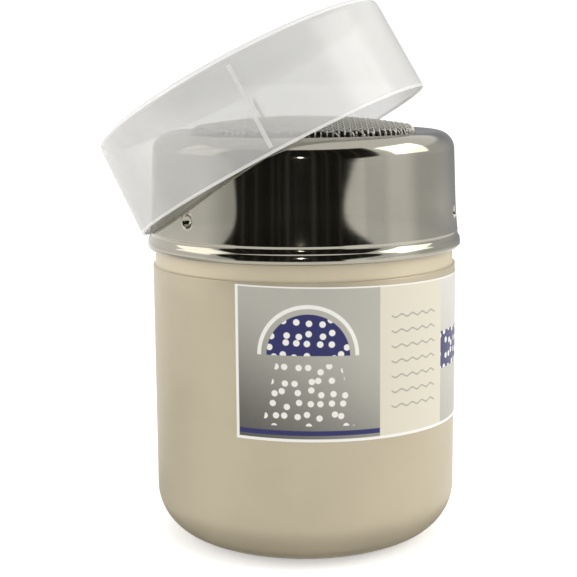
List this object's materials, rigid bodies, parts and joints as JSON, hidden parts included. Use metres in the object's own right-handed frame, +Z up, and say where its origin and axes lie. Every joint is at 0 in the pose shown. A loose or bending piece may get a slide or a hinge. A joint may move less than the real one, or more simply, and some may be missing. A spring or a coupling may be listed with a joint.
{
  "type": "shaker",
  "caption": "Drawn metal shaker cup with a domed wire mesh in a twist-off lid, a wrapped label and a thin translucent dust cap.",
  "frame": {"origin": "centre of the flat ring that the cup stands on", "axes": "+Z up along the cup's axis; -Y is the front, which the label faces; +X is to the right seen from the front"},
  "size_m": [0.0779, 0.0715, 0.116],
  "materials": {
    "satin_steel": "satin drawn stainless steel",
    "polished_steel": "mirror polished stainless steel",
    "mesh_steel": "woven stainless wire",
    "milky_plastic": "thin translucent polypropylene",
    "printed_label": "semi-gloss printed film"
  },
  "bodies": {
    "cup_body": {"cup": "satin_steel", "label": "printed_label"},
    "sieve_insert": {"mesh_screen": "mesh_steel", "retaining_ring": "polished_steel"},
    "lid": {"lid_shell": "polished_steel"},
    "cap": {"dust_cap": "milky_plastic"}
  },
  "joints": [
    {"name": "lid_lift", "type": "slide", "parent": "cup_body", "child": "sieve_insert", "axis": [0, 0, 1], "range_m": [0, 0.0132]},
    {"name": "lid_turn", "type": "hinge", "parent": "sieve_insert", "child": "lid", "pos_m": [0, 0, 0.065], "axis": [0, 0, 1], "range_deg": [0, 260]},
    {"name": "cap_lift", "type": "slide", "parent": "lid", "child": "cap", "axis": [0, 0, 1], "range_m": [0, 0.045]}
  ],
  "couplings": [
    {"joint": "lid_lift", "follows": "lid_turn", "m_per_rad": 0.0028648}
  ]
}
